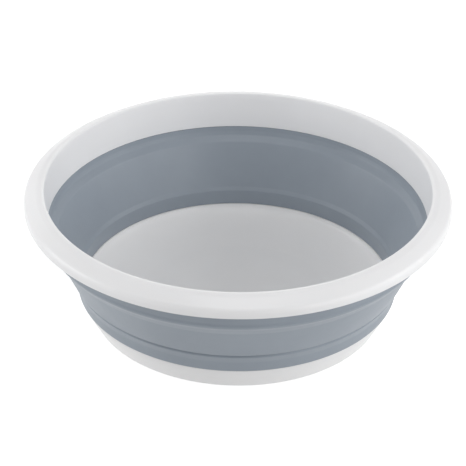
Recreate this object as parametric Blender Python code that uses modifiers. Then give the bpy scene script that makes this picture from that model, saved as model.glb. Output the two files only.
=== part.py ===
"""Round folding foot basin: a white polypropylene rim and base pan joined by a grey rubber wall.

Metres, +Z up. The origin is on the floor, on the basin's centre line. The wall is one moulding on the
real object. It folds inside out between its two creases, so here it is cut by upright cylinders into
concentric rings, which slide past each other as the rim comes down.
"""

import math

import bmesh
import bpy

# Driving dimensions
GAP = 0.0003  # clearance between pieces that touch
FACETS = 72  # facets round each turned piece

RIM_RADIUS = 0.200  # widest point of the lip
LIP_EDGE_Z = 0.1149
LIP_THICKNESS = 0.0022
LIP_SLOPE = 29.0  # degrees that the top of the lip falls outward
LIP_ROUND = 0.0060
EDGE_EASE = 0.0004
CREST_RADIUS = 0.1826
CREST_Z = 0.1313
CREST_ROUND = 0.0018
CREST_DEPTH = 0.0052  # the lip and the skirt part this far under the crest
SKIRT_RADIUS = 0.1787  # inner face of the rim's skirt, at its foot
SKIRT_FOOT_Z = 0.0949
SKIRT_THICKNESS = 0.0015
LAP_TOP_Z = 0.1067  # how far the wall climbs round the outside of the skirt
LAP_THICKNESS = 0.0014
LAP_TAPER = 0.0005  # how much the lap thins from its top to its foot

PANEL_TOP_RADIUS = 0.1735  # outer face of the wall's middle panel
PANEL_TOP_Z = 0.0814
PANEL_FOOT_RADIUS = 0.1582
PANEL_FOOT_Z = 0.0477
PANEL_INNER_TOP_RADIUS = 0.1709  # inner face of the middle panel, under the upper ledge
PANEL_INNER_TOP_Z = 0.0819
PANEL_INNER_FOOT_RADIUS = 0.1513
PANEL_INNER_FOOT_Z = 0.0397
UPPER_LEDGE = 0.0057  # how far the wall steps in above the middle panel
LOWER_LEDGE = 0.0026  # how far it steps in below it
LEDGE_RISE = 1.6  # height of a ledge over its width
WALL_FOOT_RADIUS = 0.1474
WALL_FOOT_Z = 0.0230
WALL_LAP = 0.0042  # thickness of the wall's foot, inside the edge of the base

BASE_RADIUS = 0.1519  # outer face of the base, at its upper edge
BASE_TOP_Z = 0.0262
BASE_FOOT_RADIUS = 0.1386
BASE_FOOT_Z = 0.0008  # the feet hold the base this far off the floor
BASE_THICKNESS = 0.0023
BASE_LIP = 0.0015  # thickness of the base's upper edge
FLOOR_RADIUS = 0.0950  # where the flat floor inside the basin ends
FLOOR_Z = 0.0046
LAND_RADIUS = 0.1165  # the flat underside ends here, outside the feet
HOLLOW_START = 117  # degrees from straight up, where the underside leaves the skirt
HOLLOW_END = 151  # and where it meets the land

FOLD_INNER_RADIUS = 0.1560  # the cuts between the fixed, folding and lifting parts of the wall
FOLD_OUTER_RADIUS = 0.1738
FOLD_RINGS = 5

FOOT_COUNT = 4
FOOT_CIRCLE_RADIUS = 0.1075
FOOT_RADIUS = 0.0080
FOOT_ROUND = 0.0004
FOOT_FACETS = 24
SHARP_ANGLE = 35  # degrees


def arc(centre, radii, first, last, steps):
    """Points on an ellipse. Angles are in degrees, clockwise from straight up."""
    points = []
    for i in range(steps + 1):
        angle = math.radians(first + (last - first) * i / steps)
        points.append((centre[0] + radii[0] * math.sin(angle), centre[1] + radii[1] * math.cos(angle)))
    return points


def rim_outline():
    """The lip falls outward from the crest and turns down, and the skirt hangs inside it."""
    crest = (CREST_RADIUS, CREST_Z - CREST_ROUND)
    slope = math.radians(LIP_SLOPE)
    reach = RIM_RADIUS - LIP_ROUND - CREST_RADIUS
    fall = reach * math.tan(slope) + (LIP_ROUND - CREST_ROUND) / math.cos(slope)
    shoulder = (RIM_RADIUS - LIP_ROUND, crest[1] - fall)
    inner_round = LIP_ROUND - LIP_THICKNESS
    lip_inside = RIM_RADIUS - LIP_THICKNESS
    skirt_outside = SKIRT_RADIUS + SKIRT_THICKNESS
    root = (CREST_RADIUS + CREST_ROUND, CREST_Z - CREST_DEPTH)
    outline = arc(crest, (CREST_ROUND, CREST_ROUND), -90, LIP_SLOPE, 4)
    outline += arc(shoulder, (LIP_ROUND, LIP_ROUND), LIP_SLOPE, 90, 4)
    outline += [(RIM_RADIUS, LIP_EDGE_Z + EDGE_EASE), (RIM_RADIUS - EDGE_EASE, LIP_EDGE_Z)]
    outline += [(lip_inside, LIP_EDGE_Z)]
    outline += arc(shoulder, (inner_round, inner_round), 90, LIP_SLOPE, 3)
    outline += [root, (root[0] - EDGE_EASE, LAP_TOP_Z + GAP), (skirt_outside + GAP, LAP_TOP_Z + GAP)]
    outline += [(skirt_outside, SKIRT_FOOT_Z), (SKIRT_RADIUS, SKIRT_FOOT_Z)]
    return outline


def wall_outline():
    """The whole rubber wall: a lap on the skirt, three panels with thin creases, a lap in the base."""
    lap_inside = SKIRT_RADIUS + SKIRT_THICKNESS + GAP
    lap_outside = lap_inside + LAP_THICKNESS
    foot_outside = WALL_FOOT_RADIUS + WALL_LAP - GAP - BASE_LIP
    outer = [
        (lap_inside + GAP, LAP_TOP_Z),
        (lap_outside + GAP, LAP_TOP_Z),
        (lap_outside - LAP_TAPER, SKIRT_FOOT_Z),
        (PANEL_TOP_RADIUS + UPPER_LEDGE, PANEL_TOP_Z + LEDGE_RISE * UPPER_LEDGE),
        (PANEL_TOP_RADIUS, PANEL_TOP_Z),
        (PANEL_FOOT_RADIUS, PANEL_FOOT_Z),
        (PANEL_FOOT_RADIUS - LOWER_LEDGE, PANEL_FOOT_Z - LOWER_LEDGE),
        (BASE_RADIUS, BASE_TOP_Z + GAP),
    ]
    inner = [
        (foot_outside + GAP, BASE_TOP_Z + GAP),
        (foot_outside, WALL_FOOT_Z),
        (WALL_FOOT_RADIUS, WALL_FOOT_Z),
        (PANEL_INNER_FOOT_RADIUS - LOWER_LEDGE, PANEL_INNER_FOOT_Z - LEDGE_RISE * LOWER_LEDGE),
        (PANEL_INNER_FOOT_RADIUS, PANEL_INNER_FOOT_Z),
        (PANEL_INNER_TOP_RADIUS, PANEL_INNER_TOP_Z),
        (PANEL_INNER_TOP_RADIUS + UPPER_LEDGE, PANEL_INNER_TOP_Z + LEDGE_RISE * UPPER_LEDGE),
        (SKIRT_RADIUS, SKIRT_FOOT_Z - GAP),
        (lap_inside, SKIRT_FOOT_Z - GAP),
    ]
    return outer + inner


def base_outline():
    """A dish with a flat floor, standing inside a skirt. It starts and ends on the centre line."""
    dish_top = WALL_FOOT_Z - GAP
    dish_centre = (FLOOR_RADIUS, dish_top)
    dish = (WALL_FOOT_RADIUS - GAP - FLOOR_RADIUS, dish_top - FLOOR_Z)
    under = (dish[0] + BASE_THICKNESS / 2, dish[1] + BASE_THICKNESS)
    inner_lip = BASE_RADIUS - BASE_LIP
    rounding = BASE_LIP / 2
    outline = [(0.0, FLOOR_Z)]
    outline += arc(dish_centre, dish, 180, 90, 8)
    outline += [(inner_lip - GAP, dish_top), (inner_lip, BASE_TOP_Z), (BASE_RADIUS, BASE_TOP_Z)]
    outline += [(BASE_FOOT_RADIUS, BASE_FOOT_Z + rounding), (BASE_FOOT_RADIUS - rounding, BASE_FOOT_Z)]
    outline += [(BASE_FOOT_RADIUS - BASE_THICKNESS, BASE_FOOT_Z)]
    outline += arc(dish_centre, under, HOLLOW_START, HOLLOW_END, 3)
    outline += [(LAND_RADIUS, FLOOR_Z - BASE_THICKNESS), (0.0, FLOOR_Z - BASE_THICKNESS)]
    return outline


def strip(outline, low, high):
    """The part of a closed section between two radii."""
    for limit, keep in ((low, 1), (high, -1)):
        kept = []
        for here, after in zip(outline, outline[1:] + outline[:1]):
            here_in = keep * (here[0] - limit) >= 0
            if here_in:
                kept.append(here)
            if here_in != (keep * (after[0] - limit) >= 0):
                share = (limit - here[0]) / (after[0] - here[0])
                kept.append((limit, here[1] + share * (after[1] - here[1])))
        outline = kept
    return outline


def material(name, colour, roughness):
    made = bpy.data.materials.new(name)
    made.use_nodes = True
    shader = made.node_tree.nodes["Principled BSDF"]
    shader.inputs["Base Color"].default_value = (*colour, 1.0)
    shader.inputs["Roughness"].default_value = roughness
    shader.inputs["Metallic"].default_value = 0.0
    made.diffuse_color = (*colour, 1.0)
    return made


def add_mesh(name, mesh, collection, look, parent=None):
    made = bpy.data.objects.new(name, mesh)
    collection.objects.link(made)
    made.data.materials.append(look)
    made.parent = parent
    return made


def turned(name, outline, collection, look, parent=None):
    """A section turned round the centre line. A section that touches the line stays open there."""
    on_axis = outline[0][0] == 0.0
    count = len(outline)
    edges = [(i, (i + 1) % count) for i in range(count - on_axis)]
    mesh = bpy.data.meshes.new(name)
    mesh.from_pydata([(radius, 0.0, z) for radius, z in outline], edges, [])
    made = add_mesh(name, mesh, collection, look, parent)
    screw = made.modifiers.new("turn", "SCREW")
    screw.axis = "Z"
    screw.angle = math.tau
    screw.steps = FACETS
    screw.render_steps = FACETS
    screw.use_merge_vertices = True
    screw.merge_threshold = 0.00001
    screw.use_smooth_shade = True
    return made


def foot(name, angle, collection, look):
    """A round pad under the base, with eased edges."""
    height = FLOOR_Z - BASE_THICKNESS - GAP
    shape = bmesh.new()
    bmesh.ops.create_cone(
        shape, cap_ends=True, segments=FOOT_FACETS, radius1=FOOT_RADIUS, radius2=FOOT_RADIUS, depth=height
    )
    mesh = bpy.data.meshes.new(name)
    shape.to_mesh(mesh)
    shape.free()
    made = add_mesh(name, mesh, collection, look)
    made.location = (
        FOOT_CIRCLE_RADIUS * math.cos(angle),
        FOOT_CIRCLE_RADIUS * math.sin(angle),
        height / 2,
    )
    bevel = made.modifiers.new("eased", "BEVEL")
    bevel.width = FOOT_ROUND
    bevel.segments = 2
    bevel.limit_method = "ANGLE"
    mesh.shade_smooth()
    mesh.set_sharp_from_angle(angle=math.radians(SHARP_ANGLE))


def build():
    for old in list(bpy.data.objects):
        bpy.data.objects.remove(old)
    collection = bpy.data.collections.new("folding_foot_basin")
    bpy.context.scene.collection.children.link(collection)

    rim_white = material("rim_white", (0.84, 0.84, 0.86), 0.34)
    base_white = material("base_white", (0.84, 0.84, 0.85), 0.36)
    wall_grey = material("wall_grey", (0.27, 0.31, 0.36), 0.55)
    foot_grey = material("foot_grey", (0.25, 0.29, 0.34), 0.62)

    slide = bpy.data.objects.new("rim_slide", None)
    slide.empty_display_type = "SINGLE_ARROW"
    collection.objects.link(slide)

    wall = wall_outline()
    turned("rim_ring", rim_outline(), collection, rim_white, slide)
    turned("wall_upper_band", strip(wall, FOLD_OUTER_RADIUS, RIM_RADIUS), collection, wall_grey, slide)
    width = (FOLD_OUTER_RADIUS - FOLD_INNER_RADIUS) / FOLD_RINGS
    for i in range(FOLD_RINGS):
        low = FOLD_INNER_RADIUS + width * i
        ring = strip(wall, low, low + width - GAP)
        turned(f"wall_fold_ring_{i + 1}", ring, collection, wall_grey)
    turned("wall_lower_band", strip(wall, 0.0, FOLD_INNER_RADIUS - GAP), collection, wall_grey)
    pan = turned("base_pan", base_outline(), collection, base_white)
    pan.rotation_euler.z = math.pi / FACETS  # half a facet, so that none of its corners lies on X or Y
    for i in range(FOOT_COUNT):
        foot(f"foot_{i + 1}", math.tau * (i + 0.5) / FOOT_COUNT, collection, foot_grey)


build()
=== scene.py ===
import math

import bpy
from mathutils import Matrix, Vector


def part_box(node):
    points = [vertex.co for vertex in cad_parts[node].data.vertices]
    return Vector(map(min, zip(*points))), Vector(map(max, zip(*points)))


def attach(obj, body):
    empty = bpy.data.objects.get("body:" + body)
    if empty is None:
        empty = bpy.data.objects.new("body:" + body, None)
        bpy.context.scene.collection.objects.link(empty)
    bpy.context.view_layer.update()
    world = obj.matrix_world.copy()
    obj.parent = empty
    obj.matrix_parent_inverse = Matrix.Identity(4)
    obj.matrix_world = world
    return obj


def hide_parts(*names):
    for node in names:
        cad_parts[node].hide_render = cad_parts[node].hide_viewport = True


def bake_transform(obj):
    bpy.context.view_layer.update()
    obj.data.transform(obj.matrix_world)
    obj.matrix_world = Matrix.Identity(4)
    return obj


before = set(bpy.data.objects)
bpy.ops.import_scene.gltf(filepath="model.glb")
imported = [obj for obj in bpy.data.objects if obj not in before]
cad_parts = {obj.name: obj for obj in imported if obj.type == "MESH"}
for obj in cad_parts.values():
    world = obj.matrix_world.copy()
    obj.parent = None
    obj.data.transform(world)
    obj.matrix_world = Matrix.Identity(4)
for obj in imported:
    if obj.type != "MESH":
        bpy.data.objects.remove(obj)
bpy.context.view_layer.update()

MM = 0.001

# Lengths below are in millimetres. The frame's boxes give the outer sizes of the basin.


def box_mm(node):
    low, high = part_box(node)
    return low / MM, high / MM


RIM_LOW, RIM_HIGH = box_mm("rim_ring")
UPPER_LOW, UPPER_HIGH = box_mm("wall_upper_band")
LOWER_LOW, LOWER_HIGH = box_mm("wall_lower_band")
PAN_LOW, PAN_HIGH = box_mm("base_pan")

RIM_RADIUS = RIM_HIGH.x
RIM_TOP = RIM_HIGH.z
SKIRT_FOOT = RIM_LOW.z
LAP_TOP = UPPER_HIGH.z
LAP_RADIUS = UPPER_HIGH.x
WALL_FOOT = LOWER_LOW.z
PAN_RADIUS = PAN_HIGH.x
PAN_TOP = PAN_HIGH.z
PAN_FOOT = PAN_LOW.z

SEGMENTS = 288  # round each turned piece
GAP = 0.3  # between a plastic piece and the rubber moulded onto it
ROW = 1.5  # longest edge along the wall's section, so that it can fold

# Rim
LIP_EDGE = 114.9
LIP_THICKNESS = 2.2
ROOF = 5.2  # from the crest down to the underside of the lip
CREST_INSIDE = 180.9
CREST_OUTSIDE = 184.2
CREST_FLARE = 0.6  # the skirt's inside still leans out by this much just under the crest
BREAK_RADIUS = 188.4  # where the lip starts to fall more steeply
BREAK_DROP = 1.5
SHOULDER_DROP = 8.6
SKIRT_RADIUS = 178.7
SKIRT_THICKNESS = 1.5

# Wall, as radius and height at each bend
BEAD = (94.6, 0.7)  # height of the bead under the lap, and how far it stands out from the lap
UPPER_CREASE = (173.5, 81.5)
UPPER_CREASE_INSIDE = (170.0, 81.9)
UPPER_LEDGE = (176.3, 86.4)
LOWER_CREASE = (158.2, 47.7)
LOWER_CREASE_INSIDE = (151.0, 40.8)
LOWER_LEDGE = (148.1, 37.4)
GROOVE = (154.6, 46.0)  # bottom of the dark groove just under the lower crease

# Base
FLOOR = 4.6
FLOOR_RADIUS = 95.0
DISH_RADIUS = 146.6
DISH_START = 26.0  # degrees of its quarter ellipse left out: the dish leaves the floor at a slope
DISH_STEPS = 28
PAN_EDGE = 1.5  # thickness of the edge that stands round the wall's foot
INNER_RING = 60.0  # a ring of points on the flat floor, so that its triangles stay short
UNDERSIDE = 2.3
PAN_FOOT_RADIUS = 138.6
FOOT_RADIUS = 8.0
FOOT_SEGMENTS = 64
GRIP_WIDTH = 1.1  # of the two grooves in a foot
GRIP_DEPTH = 0.5


# Sections and turned meshes

def rounded(corners, detail=6):
    """A closed section from corners (radius, height, fillet), with each fillet drawn as an arc."""
    points = []
    count = len(corners)
    for i, (x, z, fillet) in enumerate(corners):
        here = Vector((x, z))
        if fillet <= 0.0:
            points.append(here)
            continue
        before = Vector(corners[i - 1][:2]) - here
        after = Vector(corners[(i + 1) % count][:2]) - here
        half = before.angle(after) / 2
        reach = min(fillet / math.tan(half), 0.49 * before.length, 0.49 * after.length)
        radius = reach * math.tan(half)
        bisector = (before.normalized() + after.normalized()).normalized()
        centre = here + bisector * (radius / math.sin(half))
        start = here + before.normalized() * reach - centre
        end = here + after.normalized() * reach - centre
        turn = start.angle_signed(end)
        steps = max(2, round(detail * abs(turn) / (math.pi / 2)))
        for step in range(steps + 1):
            points.append(centre + Matrix.Rotation(-turn * step / steps, 2) @ start)
    return [(point.x, point.y) for point in points]


def spread(outline, longest):
    """The same section with long edges divided, so that a bend has rows of points to follow."""
    points = []
    for here, after in zip(outline, outline[1:] + outline[:1]):
        steps = max(1, math.ceil(math.dist(here, after) / longest))
        for step in range(steps):
            share = step / steps
            x, z = (a + share * (b - a) for a, b in zip(here, after))
            points.append((x, z))
    return points


def turned(name, outline, segments=SEGMENTS, centre=(0.0, 0.0)):
    """A closed section turned round an upright axis, and capped there if it starts at radius 0."""
    on_axis = outline[0][0] == 0.0
    rings = outline[1:-1] if on_axis else outline
    last = len(rings) - 1
    vertices = []
    for radius, z in rings:
        for i in range(segments):
            angle = math.tau * i / segments
            x = centre[0] + radius * math.cos(angle)
            y = centre[1] + radius * math.sin(angle)
            vertices.append((x * MM, y * MM, z * MM))
    faces = []
    for ring in range(last if on_axis else last + 1):
        here = ring * segments
        below = (ring + 1) % len(rings) * segments
        for i in range(segments):
            j = (i + 1) % segments
            faces.append((here + i, below + i, below + j, here + j))
    if on_axis:
        top = len(vertices)
        for z in (outline[0][1], outline[-1][1]):
            vertices.append((centre[0] * MM, centre[1] * MM, z * MM))
        for i in range(segments):
            j = (i + 1) % segments
            faces.append((top, i, j))
            faces.append((top + 1, last * segments + j, last * segments + i))
    mesh = bpy.data.meshes.new(name)
    mesh.from_pydata(vertices, [], faces)
    mesh.shade_smooth()
    mesh.set_sharp_from_angle(angle=math.radians(60))
    rest = mesh.attributes.new("rest", "FLOAT_VECTOR", "POINT")
    rest.data.foreach_set("vector", [value for vertex in vertices for value in vertex])
    made = bpy.data.objects.new(name, mesh)
    bpy.context.scene.collection.objects.link(made)
    return made


# Materials

class Look:
    """A Principled material whose textures read each point's place at rest, to follow the fold."""

    def __init__(self, name):
        self.material = bpy.data.materials.new(name)
        self.material.use_nodes = True
        self.tree = self.material.node_tree
        self.shader = self.tree.nodes["Principled BSDF"]
        self.place = self.tree.nodes.new("ShaderNodeAttribute")
        self.place.attribute_name = "rest"

    def node(self, kind, **inputs):
        made = self.tree.nodes.new(kind)
        for key, value in inputs.items():
            made.inputs[key.replace("_", " ")].default_value = value
        return made

    def link(self, source, target):
        self.tree.links.new(source, target)

    def feed(self, source, socket):
        self.link(source, self.shader.inputs[socket])

    def noise(self, scale, detail=3.0, roughness=0.5):
        made = self.node("ShaderNodeTexNoise", Scale=scale, Detail=detail, Roughness=roughness)
        self.link(self.place.outputs["Vector"], made.inputs["Vector"])
        return made.outputs["Fac"]

    def ranged(self, source, low, high, to_low, to_high):
        limits = {"From_Min": low, "From_Max": high, "To_Min": to_low, "To_Max": to_high}
        made = self.node("ShaderNodeMapRange", **limits)
        self.link(source, made.inputs["Value"])
        return made.outputs["Result"]

    def mixed(self, factor, first, second):
        made = self.tree.nodes.new("ShaderNodeMix")
        made.data_type = "RGBA"
        self.link(factor, made.inputs["Factor"])
        made.inputs["A"].default_value = (*first, 1.0)
        made.inputs["B"].default_value = (*second, 1.0)
        return made.outputs["Result"]

    def bumped(self, layers):
        """Bump layers, each (height, strength, distance in metres), one on top of the other."""
        normal = None
        for height, strength, distance in layers:
            made = self.node("ShaderNodeBump", Strength=strength, Distance=distance)
            self.link(height, made.inputs["Height"])
            if normal is not None:
                self.link(normal, made.inputs["Normal"])
            normal = made.outputs["Normal"]
        self.feed(normal, "Normal")

    def uniform(self, **values):
        for key, value in values.items():
            self.shader.inputs[key.replace("_", " ")].default_value = value


def polypropylene(name, light, dark, roughness):
    """Satin moulded polypropylene: a fine even grain, a faint flow ripple and a milky depth."""
    look = Look(name)
    cloud = look.ranged(look.noise(9.0, 3.0, 0.55), 0.35, 0.65, 0.0, 1.0)
    look.feed(look.mixed(cloud, dark, light), "Base Color")
    rub = look.noise(45.0, 4.0, 0.6)
    look.feed(look.ranged(rub, 0.3, 0.7, roughness - 0.04, roughness + 0.05), "Roughness")
    ripple = look.noise(28.0, 2.0, 0.4)
    grain = look.noise(1400.0, 2.0, 0.6)
    look.bumped([(ripple, 0.10, 0.5 * MM), (grain, 0.12, 0.05 * MM)])
    look.uniform(IOR=1.49, Subsurface_Weight=0.12, Subsurface_Radius=(1.0, 0.95, 0.9))
    look.uniform(Subsurface_Scale=2.0 * MM)
    return look.material


def soft_rubber(name, light, dark, roughness):
    """Thermoplastic rubber: a fine blasted mould grain, faint clouding and handling marks."""
    look = Look(name)
    cloud = look.ranged(look.noise(14.0, 4.0, 0.6), 0.32, 0.68, 0.0, 1.0)
    look.feed(look.mixed(cloud, dark, light), "Base Color")
    handled = look.noise(30.0, 5.0, 0.65)
    look.feed(look.ranged(handled, 0.3, 0.7, roughness - 0.06, roughness + 0.07), "Roughness")
    waver = look.noise(20.0, 2.0, 0.4)
    blasted = look.noise(900.0, 3.0, 0.65)
    look.bumped([(waver, 0.10, 0.8 * MM), (blasted, 0.22, 0.08 * MM)])
    look.uniform(IOR=1.47, Sheen_Weight=0.08, Sheen_Roughness=0.5)
    return look.material


# Pieces

def rim_section():
    """A crest, a lip that falls outward and turns down, and a skirt that hangs inside the lip."""
    lip_inside = RIM_RADIUS - LIP_THICKNESS
    skirt_outside = SKIRT_RADIUS + SKIRT_THICKNESS
    root = CREST_OUTSIDE + 0.2
    return rounded(
        [
            (SKIRT_RADIUS, SKIRT_FOOT, 0.3),
            (CREST_INSIDE - CREST_FLARE, RIM_TOP - 5.0, 12.0),
            (CREST_INSIDE, RIM_TOP, 1.5),
            (CREST_OUTSIDE, RIM_TOP, 2.5),
            (BREAK_RADIUS, RIM_TOP - BREAK_DROP, 6.0),
            (RIM_RADIUS, RIM_TOP - SHOULDER_DROP, 6.5),
            (RIM_RADIUS, LIP_EDGE, 0.9),
            (lip_inside, LIP_EDGE, 0.6),
            (lip_inside, RIM_TOP - SHOULDER_DROP - 2.0, 4.0),
            (root, RIM_TOP - ROOF, 1.4),
            (root - 0.4, LAP_TOP + GAP, 0.3),
            (skirt_outside + GAP, LAP_TOP + GAP, 0.0),
            (skirt_outside, SKIRT_FOOT, 0.2),
        ],
        10,
    )


def wall_section():
    """One moulding: a lap on the rim's skirt, then three panels with a crease between each two."""
    lap_inside = SKIRT_RADIUS + SKIRT_THICKNESS + GAP
    pan_lap = PAN_RADIUS - PAN_EDGE - GAP
    corners = [
        (lap_inside + GAP, LAP_TOP, 0.2),
        (LAP_RADIUS, LAP_TOP, 0.4),
        (LAP_RADIUS - 0.3, 96.6, 2.0),
        (LAP_RADIUS + BEAD[1], BEAD[0], 1.4),
        (LAP_RADIUS + 0.1, 92.4, 1.6),
        (178.4, 88.2, 4.0),
        (*UPPER_CREASE, 2.0),
        (*LOWER_CREASE, 0.9),
        (*GROOVE, 0.4),
        (156.0, 43.6, 0.8),
        (153.3, 36.8, 8.0),
        (PAN_RADIUS, PAN_TOP + GAP, 0.2),
        (pan_lap, PAN_TOP + GAP, 0.0),
        (pan_lap - GAP, WALL_FOOT, 0.0),
        (147.4, WALL_FOOT, 0.2),
        (*LOWER_LEDGE, 1.4),
        (*LOWER_CREASE_INSIDE, 1.6),
        (*UPPER_CREASE_INSIDE, 2.4),
        (*UPPER_LEDGE, 1.4),
        (177.9, 90.6, 2.0),
        (SKIRT_RADIUS, SKIRT_FOOT - GAP, 0.2),
        (lap_inside, SKIRT_FOOT - GAP, 0.0),
    ]
    return spread(rounded(corners), ROW)


def pan_section():
    """A wide dish with a flat floor, standing inside a tapered skirt."""
    edge = WALL_FOOT - GAP
    outline = [(0.0, FLOOR), (INNER_RING, FLOOR)]
    outline += [(FLOOR_RADIUS - 1.0, FLOOR), (FLOOR_RADIUS, FLOOR + 0.04)]
    start = math.radians(DISH_START)
    for step in range(1, DISH_STEPS + 1):
        angle = start + (math.pi / 2 - start) * step / DISH_STEPS
        share = (math.sin(angle) - math.sin(start)) / (1.0 - math.sin(start))
        radius = FLOOR_RADIUS + (DISH_RADIUS - FLOOR_RADIUS) * share
        outline.append((radius, edge - (edge - FLOOR) * math.cos(angle) / math.cos(start)))
    rest = rounded(
        [
            (DISH_RADIUS, edge - 1.0, 0.0),
            (DISH_RADIUS, edge, 0.4),
            (PAN_RADIUS - PAN_EDGE - GAP, edge, 0.0),
            (PAN_RADIUS - PAN_EDGE, PAN_TOP, 0.2),
            (PAN_RADIUS, PAN_TOP, 0.35),
            (PAN_FOOT_RADIUS, PAN_FOOT, 1.4),
            (136.3, PAN_FOOT, 0.7),
            (142.6, 13.4, 2.0),
            (129.5, 6.9, 10.0),
            (118.6, 4.3, 1.0),
            (116.5, UNDERSIDE, 0.6),
            (INNER_RING, UNDERSIDE, 0.0),
        ]
    )
    return outline + rest[1:] + [(0.0, UNDERSIDE)]


def foot_section(top):
    """A pad with an eased edge and two shallow grip grooves in its underside."""
    side = FOOT_RADIUS
    outline = [(0.0, top), (side - 0.4, top), (side - 0.1, top - 0.12), (side, top - 0.4)]
    outline += [(side, 0.5), (side - 0.15, 0.15), (side - 0.5, 0.0)]
    for outer in (0.8 * side, 0.48 * side):
        inner = outer - GRIP_WIDTH
        outline += [(outer, 0.0), (outer - 0.15, GRIP_DEPTH)]
        outline += [(inner + 0.15, GRIP_DEPTH), (inner, 0.0)]
    return outline + [(0.0, 0.0)]


def dress(piece, look, slot_name, *nodes):
    piece.data.materials.append(look)
    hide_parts(*nodes)


def build_basin():
    rim_white = polypropylene("rim_white", (0.875, 0.875, 0.885), (0.85, 0.85, 0.86), 0.34)
    base_white = polypropylene("base_white", (0.865, 0.865, 0.87), (0.84, 0.84, 0.845), 0.38)
    wall_grey = soft_rubber("wall_grey", (0.292, 0.332, 0.380), (0.272, 0.310, 0.356), 0.42)
    foot_grey = soft_rubber("foot_grey", (0.24, 0.265, 0.30), (0.22, 0.245, 0.28), 0.62)

    rim = turned("rim", rim_section())
    dress(rim, rim_white, "rim_white", "rim_ring")
    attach(rim, "rim")

    pan = turned("pan", pan_section())
    dress(pan, base_white, "base_white", "base_pan")
    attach(pan, "base")

    wall = turned("folding_wall", wall_section())
    rings = [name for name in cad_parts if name.startswith("wall_fold_ring_")]
    dress(wall, wall_grey, "wall_grey", "wall_upper_band", "wall_lower_band", *rings)
    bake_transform(wall)

    for name in sorted(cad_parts):
        if name.startswith("foot_"):
            low, high = box_mm(name)
            middle = (low + high) / 2
            place = (middle.x, middle.y)
            pad_name = name.replace("foot", "foot_pad")
            pad = turned(pad_name, foot_section(high.z), FOOT_SEGMENTS, place)
            dress(pad, foot_grey, "foot_grey", name)
            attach(pad, "base")


# Stage

LIGHTS_AIM = Vector((0, 0, 0.08))
STUDIO_FLOOR = 12.0  # metres across
SKY_BELOW = 0.80  # the sky is brighter from below, as over a lit table
SKY_ABOVE = 0.34



def area_light(name, azimuth, elevation, distance, size, power):
    """A square soft box facing the basin. Azimuth is in degrees, to the right of the front."""
    data = bpy.data.lights.new(name, "AREA")
    data.size = size
    data.energy = power
    made = bpy.data.objects.new(name, data)
    bpy.context.scene.collection.objects.link(made)
    turn = math.radians(azimuth)
    rise = math.radians(elevation)
    across = math.cos(rise)
    way = Vector((math.sin(turn) * across, -math.cos(turn) * across, math.sin(rise)))
    made.location = LIGHTS_AIM + distance * way
    made.rotation_mode = "QUATERNION"
    made.rotation_quaternion = (-way).to_track_quat("-Z", "Y")


def build_stage():
    scene = bpy.context.scene
    scene.view_settings.view_transform = "Standard"
    half = STUDIO_FLOOR / 2
    corners = [(x * half, y * half, 0.0) for x, y in ((-1, -1), (1, -1), (1, 1), (-1, 1))]
    mesh = bpy.data.meshes.new("floor")
    mesh.from_pydata(corners, [], [(0, 1, 2, 3)])
    floor = bpy.data.objects.new("floor", mesh)
    floor.visible_diffuse = False  # a floor this wide would light the outside of the basin too much
    scene.collection.objects.link(floor)
    paper = bpy.data.materials.new("floor")
    paper.use_nodes = True
    shader = paper.node_tree.nodes["Principled BSDF"]
    shader.inputs["Base Color"].default_value = (0.82, 0.82, 0.82, 1.0)
    shader.inputs["Roughness"].default_value = 0.9
    shader.inputs["Emission Color"].default_value = (1.0, 1.0, 1.0, 1.0)
    shader.inputs["Emission Strength"].default_value = 0.50
    mesh.materials.append(paper)

    world = bpy.data.worlds.new("studio")
    scene.world = world
    world.use_nodes = True
    nodes, links = world.node_tree.nodes, world.node_tree.links
    nodes["Background"].inputs["Color"].default_value = (1.0, 1.0, 1.0, 1.0)
    way = nodes.new("ShaderNodeTexCoord")
    parts = nodes.new("ShaderNodeSeparateXYZ")
    level = nodes.new("ShaderNodeMapRange")
    level.inputs["From Min"].default_value = -1.0
    level.inputs["To Min"].default_value = SKY_BELOW
    level.inputs["To Max"].default_value = SKY_ABOVE
    links.new(way.outputs["Generated"], parts.inputs["Vector"])
    links.new(parts.outputs["Z"], level.inputs["Value"])
    links.new(level.outputs["Result"], nodes["Background"].inputs["Strength"])

    area_light("left", 270, 20, 2.2, 1.2, 17.0)
    area_light("right", 90, 20, 2.2, 1.2, 14.5)
    area_light("front_right", 45, 22, 2.2, 1.2, 9.5)
    area_light("back_left", 225, 22, 2.2, 1.2, 4.0)
    area_light("back", 180, 20, 2.2, 1.2, 6.5)
    area_light("top", 0, 75, 2.0, 1.0, 6.5)


def build_camera():
    """Looks down into the basin from the front, from about 2.1 m away with a long lens."""
    data = bpy.data.cameras.new("camera")
    data.lens = 169.96
    data.sensor_width = 36.0
    camera = bpy.data.objects.new("camera", data)
    bpy.context.scene.collection.objects.link(camera)
    place = Vector((0.0, -1.7681, 1.1738))
    turn = (
        Matrix.Rotation(math.radians(0.142), 4, "Z")
        @ Matrix.Rotation(math.radians(90 - 31.775), 4, "X")
        @ Matrix.Rotation(math.radians(0.597), 4, "Z")
    )
    camera.matrix_world = Matrix.Translation(place) @ turn
    bpy.context.scene.camera = camera


build_camera()
build_basin()
build_stage()
